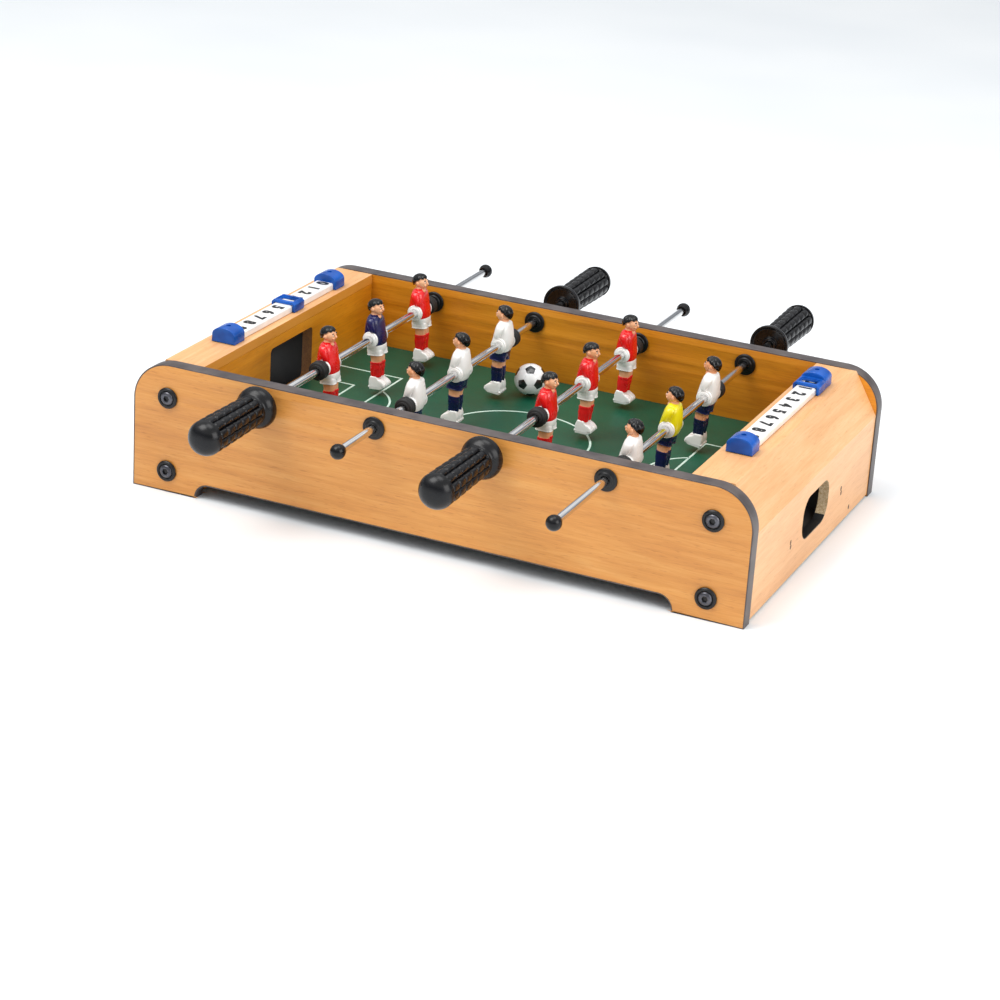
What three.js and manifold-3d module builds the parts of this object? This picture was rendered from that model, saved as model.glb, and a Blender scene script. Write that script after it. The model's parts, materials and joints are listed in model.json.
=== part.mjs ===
// Tabletop foosball table. Millimetres, +Z up, +X along the length, +Y across the width.
// The origin is on the ground, midway between the outermost ends of the rods and handles.
import * as THREE from 'three';
import Module from 'manifold-3d';
import { mergeVertices } from 'three/addons/utils/BufferGeometryUtils.js';

const wasm = await Module();
wasm.setup();

// Table
const tableLength = 510;
const tableWidth = 310;
const tableHeight = 105;
const panelThickness = 12;
const panelCornerRadius = 32;
const footInnerX = 198.7;
const footClearance = 11.9;
const footNotchRadius = 11;
const gap = 0.3;

// Play well
const wellHalfLength = 200.5;
const goalWallThickness = 9;
const fieldTop = 42.5;
const fieldThickness = 6;
const goalWidth = 71;
const goalTop = 87.5;
const goalCornerRadius = 4;

// Folded end covers
const coverThickness = 8;
const coverTop = 104.2;
const coverFoldX = 234;
const coverFaceX = 254;
const bevelFoot = 70;
const coverBottom = 2;
const outletWidth = 62;
const outletBottom = 21.3;
const outletTop = 56.3;
const outletCornerRadius = 14;
const chuteWall = 1.8;

// Rods and their fittings
const rodSpacing = 93.8;
const rodHeight = 91;
const rodRadius = 3.15;
const rodLength = 486;
const bushingHoleRadius = 6.5;
const flangeRadius = 9;
const flangeThickness = 2.7;
const bumperRadius = 7.7;
const bumperLength = 10;
const capRadius = 6.25;
const handleLength = 91;
const collarRadius = 16.5;
const collarThickness = 3.5;
const neckRadius = 12.9;
const neckHeight = 7.5;
const gripStart = 13;
const gripStartRadius = 12.4;
const gripRadius = 14.4;
const gripRings = 4;
const ringDepth = 0.8;
const domeLength = 13;
const handleBoreDepth = 77;

// Players
const playerSpacing = 82.5;
const hubRadius = 8;
const hubLength = 21;
const footDepth = 43.5;
const footWidth = 13;
const ankleHeight = -31.2;
const headTop = 32.5;
const headRadii = [6.6, 5.9, 6.9];
const headForward = 1.9;
const shirtWidth = 19.6;
const shirtDepth = 12.9;
const shoulderHeight = 20.5;
const legRadius = 5.5;
const hipHeight = -13.5;

// Bolts
const boltX = 224.5;
const boltHeights = [17.5, 78];
const boltHeadRadius = 8.5;
const boltHeadHeight = 2.9;
const socketRadius = 2.2;
const socketFloor = 1.6;
const nutStripThickness = 3.5;
const nutStripWidth = 12;
const nutStripReach = 9;
const boltShankRadius = 2.7;
const boltHoleRadius = 3;

// Score counters
const counterX = 216;
const railWidth = 17.5;
const railTop = 110.2;
const nearBlockY = -78;
const farBlockY = 92.5;
const blockLength = 17;
const blockWidth = 20.5;
const blockTop = 117;
const sliderLength = 17;
const sliderWidth = 21.5;
const sliderTop = 113;
const sliderChamfer = 2;
const windowWidth = 13;
const windowLength = 9;

// Ball
const ballRadius = 13.75;
const ballX = -29;
const ballY = 98.8;

// Each rod: side of its handle (-1 front, +1 rear), where its players stand along Y, the lean of
// its players about the rod in degrees, and how far the cap and the handle's collar sit from them.
const rods = [
  { name: 'rod_1', handleSide: -1, playersY: 32, lean: -5.8, capReach: 215, collarReach: 196 },
  { name: 'rod_2', handleSide: 1, playersY: -4.5, lean: 4, capReach: 208.5, collarReach: 202.5 },
  { name: 'rod_3', handleSide: -1, playersY: 33, lean: 0, capReach: 214, collarReach: 197 },
  { name: 'rod_4', handleSide: 1, playersY: -26, lean: 7.5, capReach: 224, collarReach: 226 },
];

const colours = {
  laminate: { color: 0xe0a566, roughness: 0.45, metalness: 0 },
  field: { color: 0x2f5f48, roughness: 0.6, metalness: 0 },
  blackPlastic: { color: 0x26262a, roughness: 0.35, metalness: 0 },
  rubber: { color: 0x1e1e20, roughness: 0.8, metalness: 0 },
  chrome: { color: 0xc8cacc, roughness: 0.15, metalness: 1 },
  red: { color: 0xd8141a, roughness: 0.35, metalness: 0 },
  navy: { color: 0x20245c, roughness: 0.35, metalness: 0 },
  white: { color: 0xf0f0ee, roughness: 0.35, metalness: 0 },
  yellow: { color: 0xf5ea1e, roughness: 0.35, metalness: 0 },
  blue: { color: 0x1b55a5, roughness: 0.35, metalness: 0 },
};

const root = new THREE.Group();
const table = new THREE.Group();
root.add(table);
const innerY = tableWidth / 2 - panelThickness;
const spanY = 2 * (innerY - gap);
const rodX = (index) => (index - 1.5) * rodSpacing;

// How far each rod reaches towards one side (-1 front, +1 rear), measured from the table's middle.
function reachTowards(side) {
  const reaches = rods.map((rod) => {
    const beyond = rod.handleSide === side ? rod.collarReach + handleLength : rod.capReach + capRadius;
    return beyond + side * rod.playersY;
  });
  return Math.max(...reaches);
}

table.position.y = (reachTowards(-1) - reachTowards(1)) / 2;

// ---- solids and cuts ----

function solid(geometry) {
  const bare = geometry.clone();
  bare.deleteAttribute('normal');
  bare.deleteAttribute('uv');
  const merged = mergeVertices(bare, 1e-4);
  return new wasm.Manifold(new wasm.Mesh({
    numProp: 3,
    vertProperties: new Float32Array(merged.attributes.position.array),
    triVerts: new Uint32Array(merged.index.array),
  }));
}

function geometryOf(manifold) {
  const mesh = manifold.getMesh();
  const geometry = new THREE.BufferGeometry();
  geometry.setAttribute('position', new THREE.BufferAttribute(new Float32Array(mesh.vertProperties), 3));
  geometry.setIndex(new THREE.BufferAttribute(new Uint32Array(mesh.triVerts), 1));
  geometry.computeVertexNormals();
  return geometry;
}

function join(geometries, cuts = []) {
  let body = solid(geometries[0]);
  for (const geometry of geometries.slice(1)) {
    body = body.add(solid(geometry));
  }
  for (const cut of cuts) {
    body = body.subtract(solid(cut));
  }
  return geometryOf(body);
}

function box(x0, x1, y0, y1, z0, z1) {
  const geometry = new THREE.BoxGeometry(x1 - x0, y1 - y0, z1 - z0);
  return geometry.translate((x0 + x1) / 2, (y0 + y1) / 2, (z0 + z1) / 2);
}

// A shape drawn in X and Z, given a thickness along Y about its middle.
function slab(shape, thickness, middleY) {
  const geometry = new THREE.ExtrudeGeometry(shape, {
    depth: thickness,
    bevelEnabled: false,
    curveSegments: 6,
  });
  return geometry.rotateX(Math.PI / 2).translate(0, middleY + thickness / 2, 0);
}

// A profile of [radius, height] pairs turned about the Z axis.
function turned(profile, segments) {
  const points = profile.map(([radius, height]) => new THREE.Vector2(radius, height));
  return new THREE.LatheGeometry(points, segments).rotateX(Math.PI / 2);
}

// The same, turned about the Y axis, with heights running towards side (+1 or -1) along Y.
function turnedAlongY(profile, segments, side) {
  return turned(profile, segments).rotateX(side > 0 ? -Math.PI / 2 : Math.PI / 2);
}

function cylinderAlongY(radius, length, segments) {
  return new THREE.CylinderGeometry(radius, radius, length, segments);
}

function polygon(points) {
  return new THREE.Shape(points.map(([x, z]) => new THREE.Vector2(x, z)));
}

function roundedRect(x0, x1, z0, z1, radius) {
  const shape = new THREE.Shape();
  shape.moveTo(x0 + radius, z0);
  shape.lineTo(x1 - radius, z0);
  shape.absarc(x1 - radius, z0 + radius, radius, -Math.PI / 2, 0, false);
  shape.lineTo(x1, z1 - radius);
  shape.absarc(x1 - radius, z1 - radius, radius, 0, Math.PI / 2, false);
  shape.lineTo(x0 + radius, z1);
  shape.absarc(x0 + radius, z1 - radius, radius, Math.PI / 2, Math.PI, false);
  shape.lineTo(x0, z0 + radius);
  shape.absarc(x0 + radius, z0 + radius, radius, Math.PI, 1.5 * Math.PI, false);
  return shape;
}

function addMesh(parent, name, geometry, colour) {
  const mesh = new THREE.Mesh(geometry, new THREE.MeshStandardMaterial(colours[colour]));
  mesh.name = name;
  parent.add(mesh);
  return mesh;
}

// ---- side panels: rounded top corners, feet left by a shallow notch, holes for rods and bolts ----

function circleHole(x, z, radius) {
  const hole = new THREE.Path();
  hole.absarc(x, z, radius, 0, 2 * Math.PI, false);
  return hole;
}

function sidePanelShape() {
  const half = tableLength / 2;
  const corner = half - panelCornerRadius;
  const notchX = footInnerX - footNotchRadius;
  const notchZ = footClearance - footNotchRadius;
  const shape = new THREE.Shape();
  shape.moveTo(-half, 0);
  shape.lineTo(-footInnerX, 0);
  shape.lineTo(-footInnerX, notchZ);
  shape.absarc(-notchX, notchZ, footNotchRadius, Math.PI, Math.PI / 2, true);
  shape.lineTo(notchX, footClearance);
  shape.absarc(notchX, notchZ, footNotchRadius, Math.PI / 2, 0, true);
  shape.lineTo(footInnerX, 0);
  shape.lineTo(half, 0);
  shape.lineTo(half, tableHeight - panelCornerRadius);
  shape.absarc(corner, tableHeight - panelCornerRadius, panelCornerRadius, 0, Math.PI / 2, false);
  shape.lineTo(-corner, tableHeight);
  shape.absarc(-corner, tableHeight - panelCornerRadius, panelCornerRadius, Math.PI / 2, Math.PI, false);
  rods.forEach((rod, index) => {
    shape.holes.push(circleHole(rodX(index), rodHeight, bushingHoleRadius));
  });
  for (const side of [-1, 1]) {
    for (const height of boltHeights) {
      shape.holes.push(circleHole(side * boltX, height, boltHoleRadius));
    }
  }
  return shape;
}

for (const [name, side] of [['front_side_panel', -1], ['rear_side_panel', 1]]) {
  const middle = side * (tableWidth - panelThickness) / 2;
  addMesh(table, name, slab(sidePanelShape(), panelThickness, middle), 'laminate');
}

// ---- playfield and goal walls ----

addMesh(table, 'playfield', box(
  -wellHalfLength + gap, wellHalfLength - gap, -spanY / 2, spanY / 2, fieldTop - fieldThickness, fieldTop,
), 'field');

// An upright hole through X, rounded at its corners, centred on Y.
function holeAlongX(width, bottom, top, radius, x0, x1) {
  const shape = roundedRect(-width / 2, width / 2, bottom, top, radius);
  const geometry = new THREE.ExtrudeGeometry(shape, {
    depth: x1 - x0,
    bevelEnabled: false,
    curveSegments: 5,
  });
  return geometry.rotateX(Math.PI / 2).rotateZ(Math.PI / 2).translate(x0, 0, 0);
}

function goalWall(side) {
  const x0 = wellHalfLength;
  const x1 = wellHalfLength + goalWallThickness;
  const wall = box(x0, x1, -spanY / 2, spanY / 2, coverBottom, coverTop - coverThickness - gap);
  const mouth = holeAlongX(goalWidth, fieldTop, goalTop, goalCornerRadius, x0 - 1, x1 + 1);
  const geometry = join([wall], [mouth]);
  return side > 0 ? geometry : geometry.rotateZ(Math.PI);
}

// ---- folded end covers: top board, bevel and upright face with the ball outlet ----

function endCover(side) {
  const fold = Math.atan2(coverTop - bevelFoot, coverFaceX - coverFoldX);
  const innerFoldX = coverFoldX - coverThickness * Math.tan(fold / 2);
  const innerBevelFoot = bevelFoot - coverThickness * Math.tan((Math.PI / 2 - fold) / 2);
  const outline = polygon([
    [wellHalfLength, coverTop],
    [wellHalfLength, coverTop - coverThickness],
    [innerFoldX, coverTop - coverThickness],
    [coverFaceX - coverThickness, innerBevelFoot],
    [coverFaceX - coverThickness, coverBottom],
    [coverFaceX, coverBottom],
    [coverFaceX, bevelFoot],
    [coverFoldX, coverTop],
  ]);
  const outlet = holeAlongX(
    outletWidth, outletBottom, outletTop, outletCornerRadius,
    coverFaceX - 2 * coverThickness, coverFaceX + coverThickness,
  );
  const geometry = join([slab(outline, spanY, 0)], [outlet]);
  return side > 0 ? geometry : geometry.rotateZ(Math.PI);
}

// ---- goal cup: the chute that takes the ball from the goal down to the outlet ----

function goalCup(side) {
  const x0 = wellHalfLength + goalWallThickness + gap;
  const x1 = coverFaceX - coverThickness - gap;
  const lip = 1;
  const floor = [fieldTop - lip, outletBottom - lip];
  const roof = [goalTop + lip, outletTop + 2 * lip];
  const outer = polygon([
    [x0, floor[0] - chuteWall],
    [x1, floor[1] - chuteWall],
    [x1, roof[1] + chuteWall],
    [x0, roof[0] + chuteWall],
  ]);
  const reach = 1;
  const slopeFloor = (floor[1] - floor[0]) / (x1 - x0);
  const slopeRoof = (roof[1] - roof[0]) / (x1 - x0);
  const inner = polygon([
    [x0 - reach, floor[0] - reach * slopeFloor],
    [x1 + reach, floor[1] + reach * slopeFloor],
    [x1 + reach, roof[1] + reach * slopeRoof],
    [x0 - reach, roof[0] - reach * slopeRoof],
  ]);
  const insideWidth = goalWidth + 2 * lip;
  const geometry = join(
    [slab(outer, insideWidth + 2 * chuteWall, 0)],
    [slab(inner, insideWidth, 0)],
  );
  return side > 0 ? geometry : geometry.rotateZ(Math.PI);
}

for (const [name, side] of [['left', -1], ['right', 1]]) {
  addMesh(table, `${name}_goal_wall`, goalWall(side), 'laminate');
  addMesh(table, `${name}_end_cover`, endCover(side), 'laminate');
  addMesh(table, `${name}_goal_cup`, goalCup(side), 'blackPlastic');
}

// ---- bolts: two to a corner, screwed into one nut strip behind the panel ----

function boltPair(sideX, sideY) {
  const outer = tableWidth / 2 + gap;
  const stripOuter = innerY - gap;
  const strip = box(
    -nutStripWidth / 2, nutStripWidth / 2, stripOuter - nutStripThickness, stripOuter,
    boltHeights[0] - nutStripReach, boltHeights[1] + nutStripReach,
  );
  const shankEnd = stripOuter - nutStripThickness / 2 - outer;
  const head = [
    [0, shankEnd],
    [boltShankRadius, shankEnd],
    [boltShankRadius, 0],
    [boltHeadRadius, 0],
    [boltHeadRadius, 0.35 * boltHeadHeight],
    [0.8 * boltHeadRadius, 0.7 * boltHeadHeight],
    [0.62 * boltHeadRadius, 0.7 * boltHeadHeight],
    [0.56 * boltHeadRadius, boltHeadHeight],
    [socketRadius, boltHeadHeight],
    [0, socketFloor],
  ];
  const bolts = boltHeights.map((height) => turnedAlongY(head, 14, 1).translate(0, outer, height));
  const geometry = join([strip, ...bolts]);
  return (sideY > 0 ? geometry : geometry.rotateZ(Math.PI)).translate(sideX * boltX, 0, 0);
}

for (const [sideName, sideY] of [['front', -1], ['rear', 1]]) {
  for (const [endName, sideX] of [['left', -1], ['right', 1]]) {
    addMesh(table, `${sideName}_${endName}_bolt_pair`, boltPair(sideX, sideY), 'blackPlastic');
  }
}

// ---- wall bushings: a barrel through the panel with a flange on each face ----

function wallBushing() {
  const barrel = panelThickness / 2 + gap;
  const end = barrel + flangeThickness;
  const bore = rodRadius + gap;
  const chamfer = 0.8;
  const profile = [
    [bore, -end],
    [flangeRadius - chamfer, -end],
    [flangeRadius, -end + chamfer],
    [flangeRadius, -barrel],
    [bushingHoleRadius - gap, -barrel],
    [bushingHoleRadius - gap, barrel],
    [flangeRadius, barrel],
    [flangeRadius, end - chamfer],
    [flangeRadius - chamfer, end],
    [bore, end],
    [bore, -end],
  ];
  return turnedAlongY(profile, 14, 1);
}

// ---- score counters: a numbered rail between two end blocks, and a slider that rides on it ----

function counterBlock(y) {
  const half = blockWidth / 2;
  const base = coverTop + gap;
  const shoulder = (base + blockTop) / 2;
  const shape = new THREE.Shape();
  shape.moveTo(-half, base);
  shape.lineTo(half, base);
  shape.lineTo(half, shoulder);
  shape.absellipse(0, shoulder, half, blockTop - shoulder, 0, Math.PI, false);
  return slab(shape, blockLength, y);
}

function scoreBar() {
  const rail = box(-railWidth / 2, railWidth / 2, nearBlockY, farBlockY, coverTop + gap, railTop);
  const recess = new THREE.CylinderGeometry(2, 2, 4, 10).rotateX(Math.PI / 2);
  const recesses = [nearBlockY, farBlockY].map((y) => recess.clone().translate(0, y, blockTop));
  return join([rail, counterBlock(nearBlockY), counterBlock(farBlockY)], recesses);
}

function scoreSlider() {
  const half = sliderWidth / 2;
  const inner = railWidth / 2 + gap;
  const base = coverTop + 2 * gap;
  const saddle = slab(polygon([
    [-half, base],
    [-inner, base],
    [-inner, railTop + gap],
    [inner, railTop + gap],
    [inner, base],
    [half, base],
    [half, sliderTop - sliderChamfer],
    [half - sliderChamfer, sliderTop],
    [-half + sliderChamfer, sliderTop],
    [-half, sliderTop - sliderChamfer],
  ]), sliderLength, 0);
  const window = box(
    -windowWidth / 2, windowWidth / 2, -windowLength / 2, windowLength / 2, railTop, sliderTop + gap,
  );
  return join([saddle], [window]);
}

const sliderFarStop = farBlockY - blockLength / 2 - gap - sliderLength / 2;
const sliderRest = { left: 20, right: sliderFarStop };
for (const [name, side] of [['left', -1], ['right', 1]]) {
  addMesh(table, `${name}_score_bar`, scoreBar(), 'white').position.x = side * counterX;
  const slider = addMesh(table, `${name}_score_slider`, scoreSlider(), 'blue');
  slider.position.set(side * counterX, sliderRest[name], 0);
}

// ---- players: hub on the rod, shirt, head, shorts, leg and shoe in one moulding, facing +X ----

function player() {
  const shirt = turned([
    [0, -2],
    [0.47 * shirtWidth, -2],
    [0.5 * shirtWidth, 12],
    [0.41 * shirtWidth, shoulderHeight - 2.1],
    [0.2 * shirtWidth, shoulderHeight],
    [0, shoulderHeight],
  ], 10).scale(shirtDepth / shirtWidth, 1, 1).translate(0.4, 0, 0);
  const head = new THREE.SphereGeometry(1, 8, 6).rotateX(Math.PI / 2).scale(...headRadii);
  head.translate(headForward, 0, headTop - headRadii[2]);
  const shorts = turned([[0, hipHeight], [6, hipHeight], [8, -4], [0, -4]], 8);
  shorts.scale(0.92, 1, 1).translate(0.8, 0, 0);
  const leg = turned([[0, -34], [legRadius, -34], [legRadius, -12], [0, -12]], 8).translate(1, 0, 0);
  const shoe = slab(polygon([
    [-5.6, -footDepth],
    [6, -footDepth],
    [9.2, -37],
    [5.6, ankleHeight],
    [-3.6, ankleHeight],
    [-5.8, -36],
  ]), footWidth, 0);
  const hub = cylinderAlongY(hubRadius, hubLength, 16);
  const bore = cylinderAlongY(rodRadius + gap, hubLength + 4, 12);
  return join([hub, shirt, head, shorts, leg, shoe], [bore]);
}

// ---- handles: collar, tapered ribbed grip and domed end, blind bore for the rod ----

function handle(side) {
  const bore = rodRadius + gap;
  const domeStart = handleLength - domeLength;
  const ringPitch = (domeStart - gripStart - 3) / gripRings;
  const profile = [
    [0, handleBoreDepth],
    [bore, handleBoreDepth],
    [bore, 0],
    [collarRadius, 0],
    [collarRadius, collarThickness],
    [neckRadius, neckHeight],
  ];
  for (let ring = 0; ring <= gripRings; ring += 1) {
    const height = gripStart + ring * ringPitch;
    const radius = THREE.MathUtils.lerp(gripStartRadius, gripRadius, ring / gripRings);
    profile.push([radius - ringDepth, height], [radius, height + 2 * ringDepth]);
  }
  for (let step = 0; step < 4; step += 1) {
    const angle = (step / 4) * (Math.PI / 2);
    profile.push([gripRadius * Math.cos(angle), domeStart + domeLength * Math.sin(angle)]);
  }
  profile.push([0, handleLength]);
  return turnedAlongY(profile, 14, side);
}

// ---- rod end cap: a round knob with a blind hole ----

function rodEndCap(side) {
  const bore = rodRadius + gap;
  const mouth = -Math.sqrt(capRadius ** 2 - bore ** 2);
  const profile = [[0, gap], [bore, gap], [bore, mouth]];
  const start = Math.atan2(mouth, bore);
  for (let step = 1; step < 5; step += 1) {
    const angle = start + (Math.PI / 2 - start) * (step / 5);
    profile.push([capRadius * Math.cos(angle), capRadius * Math.sin(angle)]);
  }
  profile.push([0, capRadius]);
  return turnedAlongY(profile, 12, side);
}

function bumper() {
  const bore = rodRadius + gap;
  const half = bumperLength / 2 - gap;
  const chamfer = 0.9;
  const profile = [
    [bore, -half],
    [bumperRadius - chamfer, -half],
    [bumperRadius, -half + chamfer],
    [bumperRadius, half - chamfer],
    [bumperRadius - chamfer, half],
    [bore, half],
    [bore, -half],
  ];
  return turnedAlongY(profile, 12, 1);
}

// ---- the four rods with all that they carry ----

const shirts = [
  ['red', 'navy', 'red'],
  ['white', 'white', 'white'],
  ['red', 'red', 'red'],
  ['white', 'yellow', 'white'],
];
const places = ['front', 'middle', 'rear'];

rods.forEach((rod, index) => {
  const side = rod.handleSide;
  const assembly = new THREE.Group();
  assembly.position.set(rodX(index), rod.playersY, rodHeight);
  assembly.rotation.y = THREE.MathUtils.degToRad(rod.lean);
  table.add(assembly);

  const capY = -side * rod.capReach;
  const bar = addMesh(assembly, rod.name, cylinderAlongY(rodRadius, rodLength, 12), 'chrome');
  bar.position.y = capY + side * rodLength / 2;
  const cap = addMesh(assembly, `${rod.name}_end_cap`, rodEndCap(-side), 'blackPlastic');
  cap.position.y = capY;
  const grip = addMesh(assembly, `${rod.name}_handle`, handle(side), 'blackPlastic');
  grip.position.y = side * rod.collarReach;

  places.forEach((place, seat) => {
    const figure = addMesh(assembly, `${rod.name}_player_${place}`, player(), shirts[index][seat]);
    figure.position.y = (seat - 1) * playerSpacing;
    figure.rotation.z = side < 0 ? 0 : Math.PI;
  });

  const bumperY = playerSpacing + hubLength / 2 + bumperLength / 2;
  for (const [place, sign] of [['front', -1], ['rear', 1]]) {
    addMesh(assembly, `${rod.name}_bumper_${place}`, bumper(), 'rubber').position.y = sign * bumperY;
    const bushing = addMesh(table, `${rod.name}_bushing_${place}`, wallBushing(), 'blackPlastic');
    bushing.position.set(rodX(index), sign * (tableWidth - panelThickness) / 2, rodHeight);
  }
});

// ---- ball ----

const ball = addMesh(table, 'ball', new THREE.SphereGeometry(ballRadius, 14, 10), 'white');
ball.position.set(ballX, ballY, fieldTop + gap + ballRadius);

export default root;
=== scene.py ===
import json
import math

import bmesh
import bpy
import numpy as np
from mathutils import Matrix, Vector


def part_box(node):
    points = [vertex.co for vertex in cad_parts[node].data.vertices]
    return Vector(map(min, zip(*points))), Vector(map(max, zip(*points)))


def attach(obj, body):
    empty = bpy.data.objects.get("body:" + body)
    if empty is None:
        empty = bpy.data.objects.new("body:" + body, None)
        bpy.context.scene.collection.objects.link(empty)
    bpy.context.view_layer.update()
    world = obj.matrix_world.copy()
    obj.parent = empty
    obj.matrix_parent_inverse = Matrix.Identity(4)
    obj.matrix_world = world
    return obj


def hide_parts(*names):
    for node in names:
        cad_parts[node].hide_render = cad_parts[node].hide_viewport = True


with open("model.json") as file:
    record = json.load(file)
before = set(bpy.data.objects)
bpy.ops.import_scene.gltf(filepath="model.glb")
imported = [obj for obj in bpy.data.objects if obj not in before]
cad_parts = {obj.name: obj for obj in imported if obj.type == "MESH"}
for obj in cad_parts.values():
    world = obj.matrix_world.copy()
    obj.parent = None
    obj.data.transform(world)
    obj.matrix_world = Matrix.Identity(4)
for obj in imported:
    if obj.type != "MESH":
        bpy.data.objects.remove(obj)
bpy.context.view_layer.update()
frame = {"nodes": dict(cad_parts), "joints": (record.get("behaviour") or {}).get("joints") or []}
jointNamed = {joint["name"]: joint for joint in frame["joints"]}


def boxOf(node):
    # a node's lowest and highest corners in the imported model, in millimetres
    low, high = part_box(node)
    return np.array(low) * 1000, np.array(high) * 1000


def middleOf(node):
    low, high = boxOf(node)
    return (low + high) / 2


def rodAxis(number):
    # x and z of the line that a rod turns about
    x, _, z = jointNamed[f"rod_{number}_spin"]["pos_m"]
    return x * 1000, z * 1000


fieldLow, fieldHigh = boxOf("playfield")
middleY = (fieldLow[1] + fieldHigh[1]) / 2


def eased(outline, radius, closed=False, steps=4):
    # each corner becomes a short curve that leaves its two sides at the same distance
    here = np.asarray(outline, float)
    back = np.roll(here, 1, 0) - here
    ahead = np.roll(here, -1, 0) - here
    backLength = np.maximum(np.linalg.norm(back, axis=1, keepdims=True), 1e-9)
    aheadLength = np.maximum(np.linalg.norm(ahead, axis=1, keepdims=True), 1e-9)
    reach = np.minimum(radius, 0.45 * np.minimum(backLength, aheadLength))
    if not closed:
        reach[[0, -1]] = 0
    first = here + back / backLength * reach
    last = here + ahead / aheadLength * reach
    t = np.linspace(0, 1, steps + 1)[:, None, None]
    curve = (1 - t) ** 2 * first + 2 * t * (1 - t) * here + t ** 2 * last
    return curve.transpose(1, 0, 2).reshape(-1, 2)


def leftOf(along):
    # unit vectors a quarter turn anticlockwise from each direction
    length = np.maximum(np.linalg.norm(along, axis=1, keepdims=True), 1e-9)
    return np.stack([-along[:, 1], along[:, 0]], 1) / length


def insetOutline(outline, distance):
    # a closed anticlockwise outline moved inwards along its own normals
    return outline + leftOf(np.roll(outline, -1, 0) - np.roll(outline, 1, 0)) * distance


def shell(grid, material, wrapRows=False):
    # rings joined into one closed skin; open ends are filled towards their middle
    rows, columns = grid.shape[:2]
    a, b = np.meshgrid(np.arange(rows if wrapRows else rows - 1), np.arange(columns), indexing="ij")
    nextA = (a + 1) % rows
    nextB = (b + 1) % columns
    corners = [a * columns + b, a * columns + nextB, nextA * columns + nextB, nextA * columns + b]
    quads = np.stack(corners, -1).reshape(-1, 4)
    points = grid.reshape(-1, 3)
    triangles = np.zeros((0, 3), int)
    if not wrapRows:
        ring = np.arange(columns)
        after = (ring + 1) % columns
        total = len(points)
        lastRow = (rows - 1) * columns
        triangles = np.vstack([
            np.stack([after, ring, np.full(columns, total)], -1),
            np.stack([ring + lastRow, after + lastRow, np.full(columns, total + 1)], -1),
        ])
        points = np.vstack([points, grid[0].mean(0), grid[-1].mean(0)])
    return {"points": points, "quads": quads, "triangles": triangles, "material": material}


def turned(profile, material, segments=48, wrapRows=False):
    # a profile of (radius, height) turned about Y, with height along Y
    profile = np.asarray(profile, float)
    angle = np.linspace(0, 2 * np.pi, segments, endpoint=False)
    radius, height = profile[:, :1], profile[:, 1:]
    grid = np.stack([radius * np.cos(angle), height + 0 * angle, radius * np.sin(angle)], -1)
    return shell(grid, material, wrapRows)


def rimmed(outline, insets, heights, material, wrapRows=False):
    # an outline in X and Z repeated at each height along Y, moved inwards by that height's inset
    rings = np.stack([insetOutline(outline, inset) for inset in insets])
    heights = np.broadcast_to(heights[:, None], rings.shape[:2])
    return shell(np.stack([rings[..., 0], heights, rings[..., 1]], -1), material, wrapRows)


def slab(outline, low, high, rim, material):
    # an outline given a thickness along Y, its two rims rounded over a quarter circle
    angle = np.linspace(0, np.pi / 2, 5)
    insets = rim * (1 - np.sin(angle))
    steps = rim * (1 - np.cos(angle))
    insets = np.concatenate([insets, insets[::-1]])
    heights = np.concatenate([low + steps, (high - steps)[::-1]])
    return rimmed(outline, insets, heights, material)


def smoothRows(rows, count):
    # rows of numbers passed through by a cubic (Catmull-Rom) curve and read off at equal steps
    rows = np.asarray(rows, float)
    place = np.linspace(0, len(rows) - 1, count)
    start = np.minimum(place.astype(int), len(rows) - 2)
    t = (place - start)[:, None]
    before, here = rows[np.maximum(start - 1, 0)], rows[start]
    after, beyond = rows[start + 1], rows[np.minimum(start + 2, len(rows) - 1)]
    return 0.5 * (
        2 * here + (after - before) * t
        + (2 * before - 5 * here + 4 * after - beyond) * t ** 2
        + (3 * here - before - 3 * after + beyond) * t ** 3
    )


def limb(rows, material, count=24, segments=28, squareness=2.0):
    # level rings of a superellipse; each row is height, middle x, middle y, half depth, half width
    height, middleX, middleV, depth, width = smoothRows(rows, count).T[:, :, None]
    angle = np.linspace(0, 2 * np.pi, segments, endpoint=False)[None]
    across = np.sign(np.cos(angle)) * np.abs(np.cos(angle)) ** (2 / squareness)
    aside = np.sign(np.sin(angle)) * np.abs(np.sin(angle)) ** (2 / squareness)
    depth = np.maximum(depth, 0.02)
    width = np.maximum(width, 0.02)
    grid = np.stack([middleX + depth * across, middleV + width * aside, height + 0 * angle], -1)
    return shell(grid, material)


def onSphere(down, around):
    # unit vectors at one angle down from the top and another round from +X
    across = np.sin(down)
    return np.stack([across * np.cos(around), across * np.sin(around), np.cos(down) + 0 * around], -1)


def ellipsoid(middle, radii, material, rows=18, segments=28):
    # a sphere of rings, stretched to three radii and moved to its middle
    down = np.linspace(0.02, np.pi - 0.02, rows)[:, None]
    around = np.linspace(0, 2 * np.pi, segments, endpoint=False)[None]
    return shell(onSphere(down, around) * np.array(radii) + np.array(middle), material)


def moved(part, offset=(0, 0, 0), lean=0.0, facing=1):
    # turns a part to face +X or -X, leans it about Y by degrees, then moves it
    points = part["points"] * np.array([facing, facing, 1])
    lean = math.radians(lean)
    turn = np.array([
        [math.cos(lean), 0, math.sin(lean)],
        [0, 1, 0],
        [-math.sin(lean), 0, math.cos(lean)],
    ])
    return {**part, "points": points @ turn.T + np.array(offset, float)}


def addObject(name, data):
    thing = bpy.data.objects.new(name, data)
    bpy.context.scene.collection.objects.link(thing)
    return thing


def shapedMesh(thing):
    # the mesh that an object's curves or cuts work out to
    bpy.context.view_layer.update()
    return bpy.data.meshes.new_from_object(thing.evaluated_get(bpy.context.evaluated_depsgraph_get()))


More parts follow.
